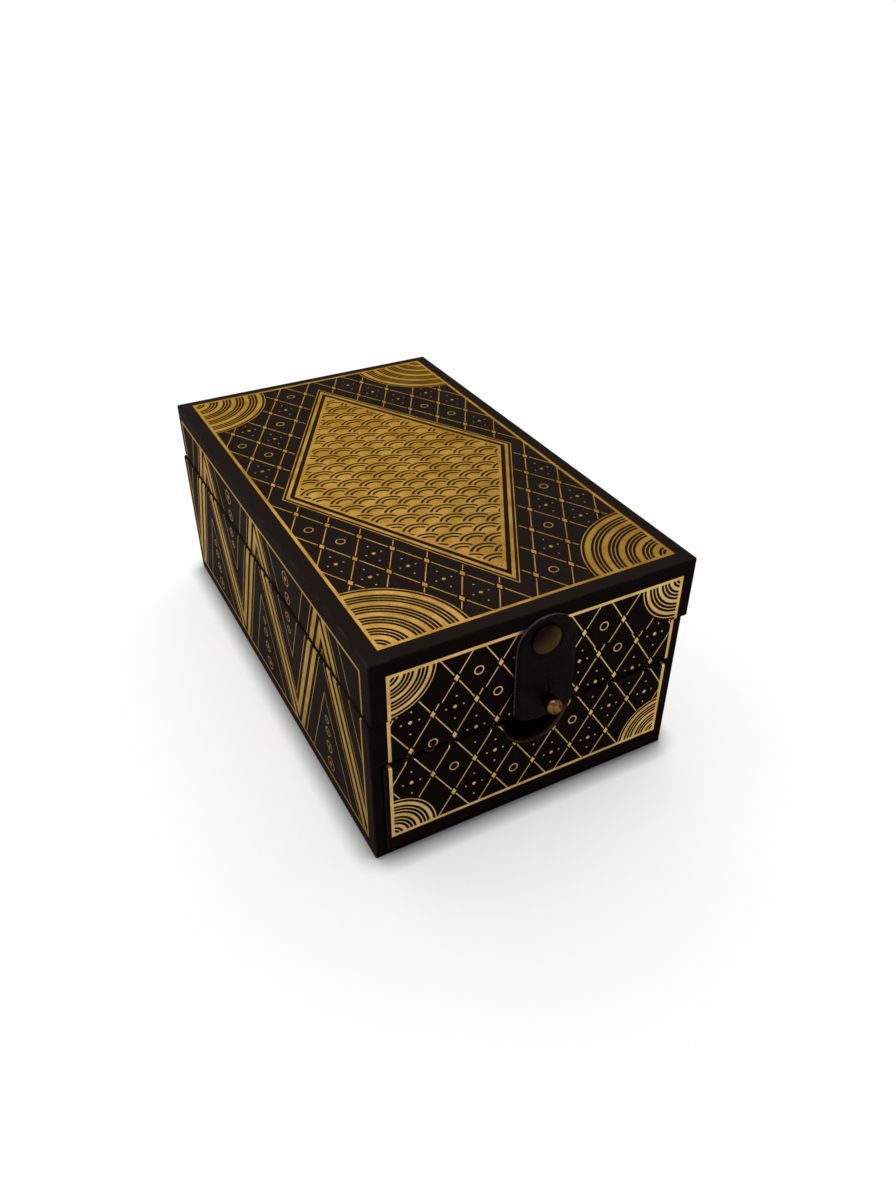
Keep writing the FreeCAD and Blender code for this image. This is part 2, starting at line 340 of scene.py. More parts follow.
def mitre_line(tree, place):
    """One on the thin diagonal joint of the paper at the case's lower front corners."""
    split = tree.nodes.new("ShaderNodeSeparateXYZ")
    tree.links.new(place, split.inputs[0])
    low, _ = mm_box("case_wrap")
    from_side = calc(tree, "ADD", calc(tree, "ABSOLUTE", split.outputs[0], 0), low.x)
    from_side = calc(tree, "MULTIPLY", from_side, -1.0)
    gap = calc(tree, "ABSOLUTE", calc(tree, "SUBTRACT", from_side, split.outputs[2]), 0)
    line = ramp(tree, gap, 0.08, 0.2, 1.0, 0.0)
    line = calc(tree, "MULTIPLY", line, ramp(tree, split.outputs[2], MITRE_REACH, MITRE_REACH + 0.2, 1.0, 0.0))
    return calc(tree, "MULTIPLY", line, ramp(tree, split.outputs[1], low.y + 0.5, low.y + 0.6, 1.0, 0.0))


def black_paper(node_name):
    """Matt black paper of a wrap, with fibres, faint clouding and rubbed edges."""
    low, high = mm_box(node_name)
    made, tree, shader = new_material("paper_" + node_name, PAPER, 0.7, specular=0.008)
    place = place_on_object(tree)
    clouds = noise(tree, place, 22, 3)
    fibres = noise(tree, place, 0.35, 4)
    tone = blend_colours(tree, ramp(tree, clouds, 0.3, 0.7), PAPER_DARK, PAPER_LIGHT)
    tone = blend_colours(tree, ramp(tree, fibres, 0.58, 0.8, 0.0, 0.5), tone, PAPER_FIBRE)
    rubbed = calc(tree, "MULTIPLY", edge_closeness(tree, place, low, high, 0.9),
                  ramp(tree, noise(tree, place, 6, 5), 0.4, 0.75))
    tone = blend_colours(tree, calc(tree, "MULTIPLY", rubbed, 0.4), tone, PAPER_RUBBED)
    if node_name == "drawer_wrap":
        # Cut edge of the notch: board colour with a painted highlight at its front.
        tone = blend_colours(tree, notch_edge_and_highlight(tree, place), tone, NOTCH_EDGE_AND_HIGHLIGHT)
    if node_name == "case_wrap":
        tone = blend_colours(tree, mitre_line(tree, place), tone, tuple(c * 0.15 for c in PAPER))
    tree.links.new(tone, shader.inputs["Base Color"])
    tree.links.new(ramp(tree, clouds, 0.3, 0.7, 0.62, 0.8), shader.inputs["Roughness"])
    bump(tree, shader, fibres, 0.03, 0.5)
    return made


def lining_paper(node_name):
    """Charcoal lining with fine ribs, fibres and a faint clouding."""
    made, tree, shader = new_material("lining_" + node_name, LINING, 0.8, specular=0.03)
    place = place_on_object(tree)
    fibres = noise(tree, place, 0.5, 4)
    clouds = noise(tree, place, 15, 2)
    split = tree.nodes.new("ShaderNodeSeparateXYZ")
    tree.links.new(place, split.inputs[0])
    along = calc(tree, "ADD", calc(tree, "ADD", split.outputs[0], split.outputs[2]),
                 calc(tree, "MULTIPLY", fibres, RIB * 0.6))
    ribs = calc(tree, "SINE", calc(tree, "MULTIPLY", along, 2 * math.pi / RIB), 0)
    tone = blend_colours(tree, ramp(tree, clouds, 0.3, 0.7), LINING, LINING_LIGHT)
    tone = blend_colours(tree, ramp(tree, ribs, -1.0, 1.0, 0.35, 0.0), tone, PAPER)
    tone = blend_colours(tree, ramp(tree, fibres, 0.55, 0.8, 0.0, 0.4), tone, PAPER_FIBRE)
    tree.links.new(tone, shader.inputs["Base Color"])
    relief = calc(tree, "ADD", calc(tree, "MULTIPLY", ribs, 0.35), fibres)
    bump(tree, shader, relief, 0.05, 0.7)
    return made


def greyboard():
    """Grey recycled board with flecks."""
    made, tree, shader = new_material("greyboard", (0.2, 0.19, 0.17), 0.9, specular=0.2)
    place = place_on_object(tree)
    flecks = noise(tree, place, 0.6, 5)
    tone = blend_colours(tree, ramp(tree, flecks, 0.35, 0.7), (0.17, 0.16, 0.145), (0.27, 0.255, 0.23))
    tree.links.new(tone, shader.inputs["Base Color"])
    bump(tree, shader, flecks, 0.05, 0.6)
    return made


def gold_foil(name, deep, pale):
    """Hot-stamped foil over paper, a little uneven, with worn pinholes."""
    made, tree, shader = new_material(name, deep, 0.34, metallic=1.0)
    shader.inputs["Specular Tint"].default_value = (*FOIL_TINT, 1)
    place = place_on_object(tree)
    drift = noise(tree, place, 9, 3)
    grain = noise(tree, place, 0.45, 3)
    tone = blend_colours(tree, ramp(tree, drift, 0.32, 0.68), deep, pale)
    worn = ramp(tree, calc(tree, "ADD", calc(tree, "MULTIPLY", grain, 0.75), calc(tree, "MULTIPLY", drift, 0.25)),
                0.3, 0.42, 0.55, 0.0)
    tone = blend_colours(tree, worn, tone, tuple(c * 0.35 for c in deep))
    tree.links.new(tone, shader.inputs["Base Color"])
    tree.links.new(ramp(tree, grain, 0.3, 0.7, 0.28, 0.46), shader.inputs["Roughness"])
    bump(tree, shader, grain, 0.02, 0.35)
    return made


def leather():
    """Black leather with a fine pebbled grain."""
    made, tree, shader = new_material("leather", (0.004, 0.0036, 0.003), 0.5, specular=0.025)
    place = place_on_object(tree)
    bent = noise(tree, place, 1.6, 3)
    pebbles = cells(tree, place, 0.75, "SMOOTH_F1")
    pores = noise(tree, place, 0.25, 3)
    clouds = noise(tree, place, 7, 3)
    tone = blend_colours(tree, ramp(tree, clouds, 0.3, 0.7), (0.0026, 0.0020, 0.0013), (0.0052, 0.0042, 0.0030))
    tree.links.new(tone, shader.inputs["Base Color"])
    tree.links.new(ramp(tree, pebbles, 0.1, 0.6, 0.42, 0.62), shader.inputs["Roughness"])
    relief = calc(tree, "ADD", calc(tree, "MULTIPLY", pebbles, -0.7), calc(tree, "MULTIPLY", pores, 0.5))
    relief = calc(tree, "ADD", relief, calc(tree, "MULTIPLY", bent, 0.6))
    bump(tree, shader, relief, 0.09, 0.8)
    return made


def leather_edge():
    """Burnished cut edge of the leather."""
    made, tree, shader = new_material("leather_edge", (0.08, 0.075, 0.068), 0.5, specular=0.1)
    place = place_on_object(tree)
    fibres = noise(tree, place, 0.4, 4)
    tone = blend_colours(tree, ramp(tree, fibres, 0.3, 0.7), (0.055, 0.051, 0.046), (0.13, 0.122, 0.112))
    tree.links.new(tone, shader.inputs["Base Color"])
    bump(tree, shader, fibres, 0.06, 0.6)
    return made


def brass(name, deep, pale, roughness, patina=0.5, size=1.2, shade=None, coat=0.0, tint=(1, 1, 1)):
    """Brass with tarnish in patches, fine scratches and, where asked, painted shade darkening its upper left."""
    made, tree, shader = new_material(name, deep, roughness, metallic=1.0)
    shader.inputs["Coat Weight"].default_value = coat
    shader.inputs["Coat Roughness"].default_value = 0.12
    shader.inputs["Specular Tint"].default_value = (*tint, 1)
    place = place_on_object(tree)
    patches = noise(tree, place, size, 4)
    scratches = noise(tree, place_on_object(tree, (0.3, 3, 3)), 0.2, 3)
    tone = blend_colours(tree, ramp(tree, patches, 0.5 - patina / 2, 0.5 + patina / 2), deep, pale)
    # Painted shade: darker towards the upper left, down to a third of the deep colour, standing in for the leather's
    # shadow and dark reflection on the cap.
    if shade:
        split = tree.nodes.new("ShaderNodeSeparateXYZ")
        tree.links.new(place, split.inputs[0])
        rightward = calc(tree, "MULTIPLY", calc(tree, "SUBTRACT", split.outputs[0], shade[0]), 0.6)
        downward = calc(tree, "MULTIPLY", calc(tree, "SUBTRACT", shade[1], split.outputs[2]), 0.8)
        from_painted_shade = calc(tree, "ADD", rightward, downward)
        tone = blend_colours(tree, ramp(tree, from_painted_shade, -4.8, 2.6), tuple(c * 0.3 for c in deep), tone)
    tree.links.new(tone, shader.inputs["Base Color"])
    tree.links.new(ramp(tree, patches, 0.3, 0.7, roughness - 0.06, roughness + 0.1), shader.inputs["Roughness"])
    bump(tree, shader, scratches, 0.01, 0.3)
    return made


def book_cloth():
    """Black woven book cloth."""
    made, tree, shader = new_material("book_cloth", (0.01, 0.009, 0.009), 0.85, specular=0.05)
    place = place_on_object(tree)
    split = tree.nodes.new("ShaderNodeSeparateXYZ")
    tree.links.new(place, split.inputs[0])
    turns = 2 * math.pi / THREAD
    warp = calc(tree, "SINE", calc(tree, "MULTIPLY", split.outputs[0], turns), 0)
    weft = calc(tree, "SINE", calc(tree, "MULTIPLY", split.outputs[2], turns), 0)
    weave = calc(tree, "MULTIPLY", warp, weft)
    tone = blend_colours(tree, ramp(tree, weave, -1, 1), (0.006, 0.0055, 0.0055), (0.018, 0.0165, 0.016))
    tree.links.new(tone, shader.inputs["Base Color"])
    bump(tree, shader, weave, 0.1, 0.7)
    return made


def add_piece(name, points, faces, body, materials, edge_faces=()):
    """Mesh piece from points in millimetres, smooth, with its second material on the named faces."""
    mesh = bpy.data.meshes.new(name)
    mesh.from_pydata([Vector(p) * MM for p in points], [], faces)
    for one in materials:
        mesh.materials.append(one)
    for index in edge_faces:
        mesh.polygons[index].material_index = 1
    mesh.shade_smooth()
    piece = bpy.data.objects.new(name, mesh)
    bpy.context.scene.collection.objects.link(piece)
    if body:
        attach(piece, body)
    return piece


def strap_outline(offset):
    """Strap's outline moved inward by an offset, clockwise from the front, as (x, z)."""
    half = STRAP_WIDTH / 2 - offset
    top = STRAP_TOP - offset
    big = STRAP_TOP_RADIUS - offset
    small = STRAP_END_RADIUS - offset
    curve = STRAP_END_CURVE - offset
    curve_z = STRAP_LOW + STRAP_END_CURVE
    lean_in = math.asin((half - small) / (curve - small))
    corner_z = curve_z - (curve - small) * math.cos(lean_in)
    lean_in = math.degrees(lean_in)
    corners = (
        (half - big, top - big, big, 90, 0, 28),
        (half - small, corner_z, small, 0, lean_in - 90, 10),
        (0, curve_z, curve, lean_in - 90, -lean_in - 90, 24),
        (small - half, corner_z, small, 270 - lean_in, 180, 10),
        (big - half, top - big, big, 180, 90, 28),
    )
    points = []
    for x, z, radius, start, end, count in corners:
        for i in range(count + 1):
            turn = math.radians(start + (end - start) * i / count)
            point = (x + radius * math.cos(turn), z + radius * math.sin(turn))
            if not points or math.dist(point, points[-1]) > 1e-4:
                points.append(point)
    result = []
    for a, b in zip(points, points[1:] + points[:1]):
        parts = STRAIGHT_PARTS if math.dist(a, b) > LONG_STRETCH else 1
        result += [(a[0] + (b[0] - a[0]) * j / parts, a[1] + (b[1] - a[1]) * j / parts) for j in range(parts)]
    cos, sin = math.cos(math.radians(STRAP_TURN)), math.sin(math.radians(STRAP_TURN))
    return [(STRAP_X + x * cos + (z - FOLD_Z) * sin, FOLD_Z - x * sin + (z - FOLD_Z) * cos) for x, z in result]


def keyhole_outline(offset):
    """Hole round the stud's neck with the slit above it, grown by an offset, anticlockwise."""
    radius = KEYHOLE_RADIUS + offset
    half = SLIT_HALF + offset
    start = math.asin(half / radius)
    points = []
    for i in range(25):
        turn = math.pi / 2 + start + (2 * math.pi - 2 * start) * i / 24
        points.append((STUD_X + radius * math.cos(turn), STUD_Z + radius * math.sin(turn)))
    foot = STUD_Z + radius * math.cos(start)
    tip = STUD_Z + KEYHOLE_RADIUS + SLIT_LENGTH
    rise = [foot + (tip - foot) * i / 8 for i in range(1, 8)]
    points += [(STUD_X + half, z) for z in rise]
    points += [(STUD_X + half * math.cos(math.pi * i / 6), tip + half * math.sin(math.pi * i / 6)) for i in range(7)]
    points += [(STUD_X - half, z) for z in reversed(rise)]
    return points


def strap_surface(x, z, height):
    """Place in the box's frame for a spot on the strap's outline and a height through its thickness."""
    below = max(FOLD_Z + 1.5 - z, 0)
    lean = math.tan(math.radians(STRAP_LEAN)) * below * below / (below + 3)
    curl = 0.35 * max((STRAP_LOW + 6 - z) / 6, 0) ** 2
    from_cap = math.dist((x, z), (CAP_X, CAP_Z))
    share = height / STRAP_THICKNESS
    dent = -0.28 * math.exp(-((from_cap - 5.4) / 0.8) ** 2) * share
    pressed = 0.12 * math.exp(-((from_cap - 7.4) / 1.2) ** 2) * share
    from_stud = math.hypot(x - STUD_X, max(z - STUD_Z, 0) * 0.6 + max(STUD_Z - z, 0))
    lifted = 0.35 * math.exp(-((from_stud - 1.8) / 2.2) ** 2)
    wave = 0.1 * hills(Vector((x * 0.12, z * 0.16, 0.0))) + 0.03 * hills(Vector((x * 0.7, z * 0.7, 4.0)))
    out = height + lean + curl + (dent + pressed) + lifted + wave * share
    return (x, LID_FRONT - out, z)


def make_strap():
    """Leather strap from the rivet down over the stud, one bent piece."""
    t = STRAP_THICKNESS
    profile = ((0.4, 0.0), (0.1, 0.06), (0.0, 0.25), (0.0, 0.95), (0.04, t - 0.55), (0.16, t - 0.27), (0.38, t - 0.08),
               (0.8, t))
    points, faces, edge_faces = [], [], []
    caps = {0: [], len(profile) - 1: []}
    for outline, rounding in ((strap_outline, 1.0), (keyhole_outline, 0.3)):
        loops = []
        for step, (offset, height) in enumerate(profile):
            loop = outline(offset * rounding)
            first = len(points)
            points += [(x, z, height) for x, z in loop]
            loops.append(list(range(first, len(points))))
            if step in caps:
                caps[step].append(loops[-1])
        for step, (low, high) in enumerate(zip(loops, loops[1:])):
            for i in range(len(low)):
                j = (i + 1) % len(low)
                if 0 < step < 3:
                    edge_faces.append(len(faces))
                faces.append((high[i], high[j], low[j], low[i]))
    for step, (outer, hole) in caps.items():
        height = profile[step][1]
        known = outer[::-1] + hole
        flat = [Vector(points[i][:2]) for i in known]
        outlines = [list(range(len(outer))), list(range(len(outer), len(known)))]
        row = 0
        z = STRAP_LOW + 1
        while z < STRAP_TOP - 1:
            x = STRAP_X - STRAP_WIDTH / 2 + (1.0 if row % 2 else 1.4)
            while x < STRAP_X + STRAP_WIDTH / 2 - 0.9:
                if min(math.dist((x, z), p) for p in flat[: len(known)]) > 0.5:
                    flat.append(Vector((x, z)))
                x += 0.8
            z += 0.7
            row += 1
        found, _, triangles, origins, _, sources = delaunay_2d_cdt(flat, [], outlines, 1, 1e-5, True)
        index = {}
        for new, old in enumerate(origins):
            if old and old[0] < len(known):
                index[new] = known[old[0]]
            else:
                index[new] = len(points)
                points.append((found[new].x, found[new].y, height))
        for triangle, inside in zip(triangles, sources):
            if list(inside) == [0]:
                triangle = [index[i] for i in triangle]
                faces.append(triangle if step else triangle[::-1])
    placed = [strap_surface(*p) for p in points]
    strap = add_piece("leather_strap", placed, faces, None, (leather(), leather_edge()), edge_faces)
    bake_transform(strap)
    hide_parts("strap_root", "strap_flap")


def make_hinge_cloth():
    """Strip of book cloth glued across the seam at the back."""
    lower_low, lower_high = mm_box("hinge_cloth_lower")
    upper_low, upper_high = mm_box("hinge_cloth_upper")
    x0, x1 = lower_low.x, lower_high.x
    z0, z1 = lower_low.z, upper_high.z
    thick = lower_high.y - lower_low.y
    seam = (lower_high.z + upper_low.z) / 2
    levels = [z0 + (seam - 2 - z0) * i / 10 for i in range(10)]
    levels += [seam - 2 + 4 * i / 20 for i in range(20)]
    levels += [seam + 2 + (z1 - seam - 2) * i / 10 for i in range(11)]
    columns = [x0 + (x1 - x0) * i / 60 for i in range(61)]
    points = []
    for side in (0, 1):
        for z in levels:
            sink = 0.3 * math.exp(-((z - seam) / 0.5) ** 2)
            edge = min(z - z0, z1 - z)
            for x in columns:
                margin = min(edge, x - x0, x1 - x)
                thin = 1 - 0.5 * math.exp(-(margin / 0.25) ** 2)
                stir = 0.05 * hills(Vector((x * 0.15, z * 0.3, 7.0)))
                points.append((x, lower_low.y - sink + side * thick * thin + side * stir * (margin > 0.2) - 0.02, z))
    wide, tall = len(columns), len(levels)
    count = wide * tall
    faces = []
    for i in range(tall - 1):
        for j in range(wide - 1):
            a = i * wide + j
            b, c, d = a + 1, a + wide + 1, a + wide
            faces.append((a, b, c, d))
            faces.append((d + count, c + count, b + count, a + count))
    rim = [(i, i + 1) for i in range(wide - 1)]
    rim += [(i * wide + wide - 1, (i + 1) * wide + wide - 1) for i in range(tall - 1)]
    rim += [(count - 1 - i, count - 2 - i) for i in range(wide - 1)]
    rim += [((i + 1) * wide, i * wide) for i in range(tall - 1)]
    faces += [(b, a, a + count, b + count) for a, b in rim]
    cloth = add_piece("hinge_cloth", points, faces, None, (book_cloth(),))
    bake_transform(cloth)
    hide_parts("hinge_cloth_lower", "hinge_cloth_upper")


def lathe(name, profile, centre, body, material, sides=96):
    """Turned piece about a line along Y, from (radius, y) points that run from its front tip to its back."""
    cx, cz = centre
    points = []
    loops = []
    for radius, y in profile:
        if radius < 1e-6:
            loops.append([len(points)] * sides)
            points.append((cx, y, cz))
            continue
        loops.append(list(range(len(points), len(points) + sides)))
        for i in range(sides):
            turn = 2 * math.pi * i / sides
            points.append((cx + radius * math.cos(turn), y, cz + radius * math.sin(turn)))
    faces = []
    for near, far in zip(loops, loops[1:]):
        for i in range(sides):
            j = (i + 1) % sides
            corners = (near[i], far[i], far[j], near[j])
            faces.append(tuple(dict.fromkeys(corners)))
    return add_piece(name, points, faces, body, (material,))


def make_cap():
    """Domed rivet cap with a rolled rim."""
    low, high = mm_box("rivet_cap")
    seat = high.y
    radius = (high.x - low.x) / 2
    rise = high.y - low.y
    centre = ((low.x + high.x) / 2, (low.z + high.z) / 2)
    profile = [(0.0, seat - rise)]
    crown = radius - 0.75
    for i in range(1, 13):
        share = i / 12
        profile.append((crown * share, seat - rise + (rise - 1.05) * share ** 2.4))
    for i in range(1, 11):
        turn = math.radians(90 - 18 * i)
        profile.append((crown + 0.75 * math.cos(turn), seat - 0.55 - 0.5 * math.sin(turn)))
    profile.append((radius - 0.9, seat + 0.05))
    profile.append((0.0, seat + 0.05))
    # The cap's brass is darkened on its upper left as painted shade.
    cap = lathe("brass_rivet_cap", profile, centre, "lid", brass(
        "antique_brass", (0.024, 0.0135, 0.0060), (0.052, 0.032, 0.0160), 0.34, 0.8, 5.0, shade=(CAP_X, CAP_Z),
        tint=(0.72, 0.62, 0.50)))
    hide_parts("rivet_cap")


def make_ball():
    """Ball stud with a rounded flange and a waisted neck."""
    low, high = mm_box("ball_stud")
    centre = ((low.x + high.x) / 2, (low.z + high.z) / 2)
    ball = 2.95
    ball_y = low.y + ball
    seat = high.y
    flange = (high.x - low.x) / 2
    neck = 1.6
    profile = [(0.0, low.y)]
    for i in range(1, 31):
        turn = math.radians(i * 4.9)
        profile.append((ball * math.sin(turn), ball_y - ball * math.cos(turn)))
    profile += [(neck, ball_y + 2.75), (neck * 0.96, ball_y + 3.6), (neck, seat - 1.3), (neck + 0.25, seat - 0.98)]
    profile += [(flange - 0.3, seat - 0.9), (flange - 0.08, seat - 0.8), (flange, seat - 0.6), (flange, seat - 0.15)]
    profile += [(flange - 0.1, seat + 0.02), (0.0, seat + 0.02)]
    ball_piece = lathe("brass_ball_stud", profile, centre, "case", brass(
        "stud_brass", (0.040, 0.016, 0.003), (0.200, 0.095, 0.026), 0.2, 0.3, 1.8, coat=0.15, tint=(0.8, 0.5, 0.25)))
    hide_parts("ball_stud")


class Design:
    """Flat print in millimetres, painted in order: a later shape covers the earlier ones."""

    def __init__(self):
        self.shapes = []

    def region(self, points):
        """Outline that other shapes can be clipped to."""
        self.shapes.append((points, None, None))
        return len(self.shapes) - 1

    def fill(self, points, ink=True, clip=None):
        """Solid shape, or a bare one that clears what is below it."""
        self.shapes.append((points, ink, clip))

    def line(self, a, b, width=FINE, ink=True, clip=None):
        """Straight bar between two points."""
        a, b = Vector(a), Vector(b)
        side = (b - a).normalized().orthogonal() * width / 2
        self.fill([a + side, a - side, b - side, b + side], ink, clip)

    def disc(self, centre, radius, ink=True, clip=None):
        """Round dot."""
        self.fill(arc_points(centre, radius, 0, 360)[:-1], ink, clip)

    def ring(self, centre, radius, width=FINE, start=0, end=360, ink=True, clip=None):
        """Circular bar about a radius, in stretches of at most a third of a turn."""
        stretches = math.ceil((end - start) / 120)
        step = (end - start) / stretches
        for i in range(stretches):
            self.fill(band_points(centre, radius, width, start + i * step, start + (i + 1) * step), ink, clip)

    def lozenge(self, centre, half_x, half_y, ink=True, clip=None):
        """Solid lozenge."""
        self.fill(lozenge_points(centre, half_x, half_y), ink, clip)

    def lozenge_line(self, centre, half_x, half_y, width=FINE, clip=None):
        """Lozenge outline whose bar keeps its width across the slope."""
        outer = lozenge_points(centre, half_x, half_y)
        grow = width * math.hypot(half_x, half_y)
        inner = lozenge_points(centre, half_x - grow / half_y, half_y - grow / half_x)
        for i in range(4):
            j = (i + 1) % 4
            self.fill([outer[i], outer[j], inner[j], inner[i]], True, clip)

    def border(self, x0, x1, y0, y1, width=FRAME_LINE):
        """Rectangular frame line, measured to its outside."""
        outer = [(x0, y0), (x1, y0), (x1, y1), (x0, y1)]
        w = width
        inner = [(x0 + w, y0 + w), (x1 - w, y0 + w), (x1 - w, y1 - w), (x0 + w, y1 - w)]
        for i in range(4):
            j = (i + 1) % 4
            self.fill([outer[i], outer[j], inner[j], inner[i]])


def arc_points(centre, radius, start, end):
    """Points along an arc, closer together on a larger one."""
    count = max(3, math.ceil(abs(end - start) / 360 * (16 + 4 * radius)))
    turns = [math.radians(start + (end - start) * i / count) for i in range(count + 1)]
    return [(centre[0] + radius * math.cos(t), centre[1] + radius * math.sin(t)) for t in turns]


def band_points(centre, radius, width, start, end):
    """Outline of a circular bar about a radius."""
    outer = arc_points(centre, radius + width / 2, start, end)
    return outer + arc_points(centre, radius - width / 2, start, end)[::-1]


def lozenge_points(centre, half_x, half_y):
    """Corners of a lozenge, anticlockwise from its right tip."""
    x, y = centre
    return [(x + half_x, y), (x, y + half_y), (x - half_x, y), (x, y - half_y)]


def rectangle(x0, x1, y0, y1):
    """Corners of a rectangle, anticlockwise."""
    return [(x0, y0), (x1, y0), (x1, y1), (x0, y1)]


class Face:
    """Side of the box that carries print, flat between two levels and rounded past them."""

    def __init__(self, origin, across, normal, low, high, over=WRAP_REACH):
        self.origin = Vector(origin)
        self.across = Vector(across)
        self.normal = Vector(normal)
        self.up = self.normal.cross(self.across)
        self.low = low
        self.high = high
        self.over = over

    def place(self, u, v, height):
        """Point in metres for a place on the print and a height above the paper."""
        over = max(v - self.high, 0)
        under = max(self.low - v, 0)
        turn = min((over or under) / EDGE_RADIUS, math.pi / 2)
        past = (over or under) - turn * EDGE_RADIUS
        sign = 1 if over else -1
        level = min(max(v, self.low), self.high) + sign * EDGE_RADIUS * math.sin(turn)
        inward = EDGE_RADIUS * (1 - math.cos(turn)) + past
        normal = self.normal * math.cos(turn) + self.up * sign * math.sin(turn)
        point = self.origin + self.across * u + self.up * level - self.normal * inward
        return (point + normal * height) * MM

    def window(self, u0, u1):
        """Area of the print that this piece can carry."""
        return rectangle(u0, u1, self.low - WRAP_REACH, self.high + self.over)

    def guides(self):
        """Levels where the rounded stretches are divided."""
        steps = [EDGE_RADIUS * math.pi / 2 * i / BEND_STEPS for i in range(BEND_STEPS + 1)]
        return [self.low - s for s in steps] + [self.high + s for s in steps]


def anticlockwise(points):
    """Same outline, turning left."""
    area = sum(a[0] * b[1] - b[0] * a[1] for a, b in zip(points, points[1:] + points[:1]))
    return points if area > 0 else points[::-1]


def inked(found, shapes):
    """Whether the top shape over a spot is ink."""
    for index in sorted(found, reverse=True):
        _, ink, clip = shapes[index]
        if ink is None or (clip is not None and clip not in found):
            continue
        return ink
    return False


def foil(name, design, face, body, u0, u1, shift=(0, 0), tilt=0.0, cuts=(), material=None):
    """Thin gold solid that shows a design on one piece's face, cut at the piece's edges."""
    cos, sin = math.cos(math.radians(tilt)), math.sin(math.radians(tilt))

    def moved(p):
        return (p[0] * cos - p[1] * sin + shift[0], p[0] * sin + p[1] * cos + shift[1])

    shapes = [([moved(p) for p in points], ink, clip) for points, ink, clip in design.shapes]
    window_index = len(shapes)
    shapes.append((face.window(u0, u1), None, None))
    shapes += [(cut, False, None) for cut in cuts]
    low_v, high_v = face.low - WRAP_REACH, face.high + face.over
    points, outlines, kept = [], [], []
    for index, (outline, _, _) in enumerate(shapes):
        vs = [p[1] for p in outline]
        if max(vs) < low_v or min(vs) > high_v:
            continue
        first = len(points)
        points += [Vector((p[0], p[1])) for p in anticlockwise(outline)]
        outlines.append(list(range(first, len(points))))
        kept.append(index)
    lines = []
    for level in face.guides():
        lines.append((len(points), len(points) + 1))
        points += [Vector((u0 - 1, level)), Vector((u1 + 1, level))]
    flat, _, triangles, _, _, sources = delaunay_2d_cdt(points, lines, outlines, 1, 1e-4, True)
    chosen = []
    for triangle, found in zip(triangles, sources):
        found = {kept[i] for i in found}
        if window_index in found and inked(found, shapes):
            chosen.append(triangle)
    return thin_solid(name, face, flat, chosen, body, material)


def thin_solid(name, face, flat, triangles, body, material):
    """Closed sheet from flat triangles, with walls along its outline."""
    used = sorted({i for t in triangles for i in t})
    place = {old: new for new, old in enumerate(used)}
    top = [face.place(*flat[i], FOIL_HEIGHT) for i in used]
    low = [face.place(*flat[i], -FOIL_DEPTH) for i in used]
    count = len(used)
    faces = []
    edges = {}
    for t in triangles:
        t = [place[i] for i in t]
        faces.append(t)
        faces.append([i + count for i in reversed(t)])
        for a, b in zip(t, t[1:] + t[:1]):
            edges[(a, b)] = True
    for a, b in edges:
        if (b, a) not in edges:
            faces.append([b, a, a + count, b + count])
    mesh = bpy.data.meshes.new(name)
    mesh.from_pydata(top + low, [], faces)
    mesh.validate()
    obj = bpy.data.objects.new(name, mesh)
    bpy.context.scene.collection.objects.link(obj)
    mesh.materials.append(material)
    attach(obj, body)
    print(name, "triangles", len(mesh.polygons))
    return obj


def scales(design, clip, centre, half_x, half_y, radius):
    """Rows of overlapping scallops over a lozenge, each row's tops over the feet of the row above it."""
    cx, cy = centre
    past = 1 + radius * math.hypot(1 / half_x, 1 / half_y)
    rows = math.ceil(half_y / radius) * 2 + 2
    columns = math.ceil(half_x / radius) + 1
    for row in range(rows, -rows - 1, -1):
        y = cy + row * radius / 2
        for column in range(-columns, columns + 1):
            x = cx + column * radius
            if (row + column) % 2 or abs(x - cx) / half_x + abs(y - cy) / half_y > past:
                continue
            design.fill(arc_points((x, y), radius, 0, 180), ink=False, clip=clip)
            for inset in (0.45, 2.25):
                design.fill(band_points((x, y), radius - inset, 0.9, 22, 158), clip=clip)
            design.fill(arc_points((x, y), radius - 3.6, 0, 180), clip=clip)


def lattice(design, clip, x0, x1, y0, y1, step, slope, bare=None):
    """Crossing fine lines with a lozenge on each crossing and rings or groups of dots in the cells."""
    cx, cy = (x0 + x1) / 2, (y0 + y1) / 2
    half = (x1 - x0) / 2
    count = math.ceil(((y1 - y0) / 2 + half * slope) / (step * slope))
    for i in range(-count, count + 1):
        level = cy + i * step * slope
        design.line((x0, level - half * slope), (x1, level + half * slope), clip=clip)
        design.line((x0, level + half * slope), (x1, level - half * slope), clip=clip)
    columns = math.ceil(half / (step / 2))
    rows = math.ceil((y1 - y0) / 2 / (step * slope / 2))
    for i in range(-columns, columns + 1):
        for j in range(-rows, rows + 1):
            x, y = cx + i * step / 2, cy + j * step * slope / 2
            if min(half - abs(x - cx), (y1 - y0) / 2 - abs(y - cy)) < 4.2 or (bare and bare(x, y)):
                continue
            if (i + j) % 2 == 0:
                design.lozenge((x, y), 1.7, 1.7 * slope, ink=False)
                design.lozenge((x, y), 0.9, 0.9 * slope)
            elif (i // 2 + j) % 3 == 0:
                design.ring((x, y), 1.5, FINE)
            else:
                design.disc((x, y), 0.65)
                for side in (-1, 1):
                    design.disc((x + side * step * 0.2, y), 0.3)
                    design.disc((x, y + side * step * slope * 0.2), 0.3)


def corner_arcs(design, clip, x0, x1, y0, y1, bars):
    """Concentric bars round each corner of a frame, from the outermost in."""
    for corner, start in (((x0, y0), 0), ((x1, y0), 90), ((x1, y1), 180), ((x0, y1), 270)):
        design.disc(corner, bars[0][0] + 0.8, ink=False, clip=clip)
        for radius, width in bars:
            design.ring(corner, radius, width, start, start + 90, clip=clip)


def arcs(outer, gap, *widths):
    """Radii and widths of bars laid inward from a radius with equal gaps."""
    bars = []
    for width in widths:
        bars.append((outer - width / 2, width))
        outer -= width + gap
    return bars


